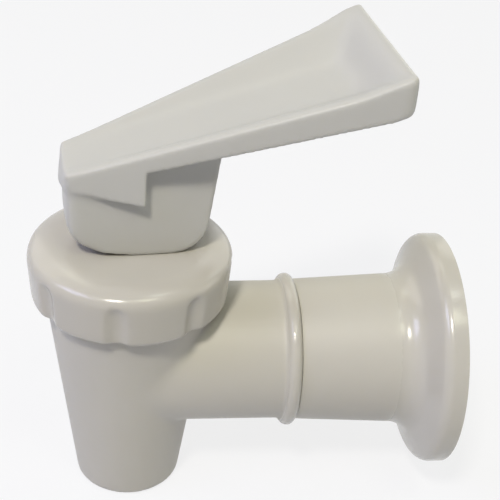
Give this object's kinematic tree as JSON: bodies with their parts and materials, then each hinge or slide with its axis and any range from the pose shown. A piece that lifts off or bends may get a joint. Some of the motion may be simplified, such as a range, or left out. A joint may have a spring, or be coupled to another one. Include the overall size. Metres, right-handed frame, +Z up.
{
  "type": "beverage dispenser spigot",
  "caption": "Self-closing drinks spigot: tapered outlet barrel on a horizontal inlet tube with a bell collar, grip-notched bonnet and a dished paddle lever with a cam foot.",
  "frame": {"origin": "centre of the inlet thread's mouth, in the plane of the flange's back face that bears on the panel", "axes": "+Y out of the inlet into the panel, +Z up along the barrel and stem towards the lever, +X to the side; the outlet points along -Z"},
  "size_m": [0.044, 0.0772, 0.0893],
  "materials": {
    "body_plastic": "moulded, soft gloss",
    "collar_plastic": "moulded, soft gloss",
    "bonnet_plastic": "moulded, soft gloss",
    "lever_plastic": "moulded, soft gloss",
    "pin_steel": "ground",
    "stem_plastic": "turned acetal, satin",
    "spring_steel": "drawn wire",
    "washer_plastic": "moulded acetal, satin",
    "cup_silicone": "translucent white silicone",
    "insert_brass": "machined",
    "washer_rubber": "black rubber"
  },
  "bodies": {
    "faucet": {"faucet_body": "body_plastic", "bell_collar": "collar_plastic", "bonnet": "bonnet_plastic", "threaded_insert": "insert_brass", "inlet_washer": "washer_rubber", "seat_cup": "cup_silicone"},
    "swivel": {"return_spring": "spring_steel", "spring_washer": "washer_plastic"},
    "stem": {"valve_stem": "stem_plastic"},
    "lever": {"lever_handle": "lever_plastic", "handle_pin": "pin_steel"}
  },
  "joints": [
    {"name": "lever_swivel", "type": "hinge", "parent": "faucet", "child": "swivel", "pos_m": [0, -0.059, 0.025], "axis": [0, 0, 1], "continuous": true},
    {"name": "stem_lift", "type": "slide", "parent": "swivel", "child": "stem", "axis": [0, 0, 1], "range_m": [0, 0.00195], "deforming": ["return_spring", "seat_cup"]},
    {"name": "lever_press", "type": "hinge", "parent": "stem", "child": "lever", "pos_m": [0, -0.059, 0.0364], "axis": [-0.9956, -0.0941, 0], "range_deg": [0, 20], "stiffness_Nm_per_rad": 0.012, "springref_deg": -20.05}
  ],
  "couplings": [
    {"joint": "stem_lift", "follows": "lever_press", "m_per_rad": 0.0055}
  ]
}
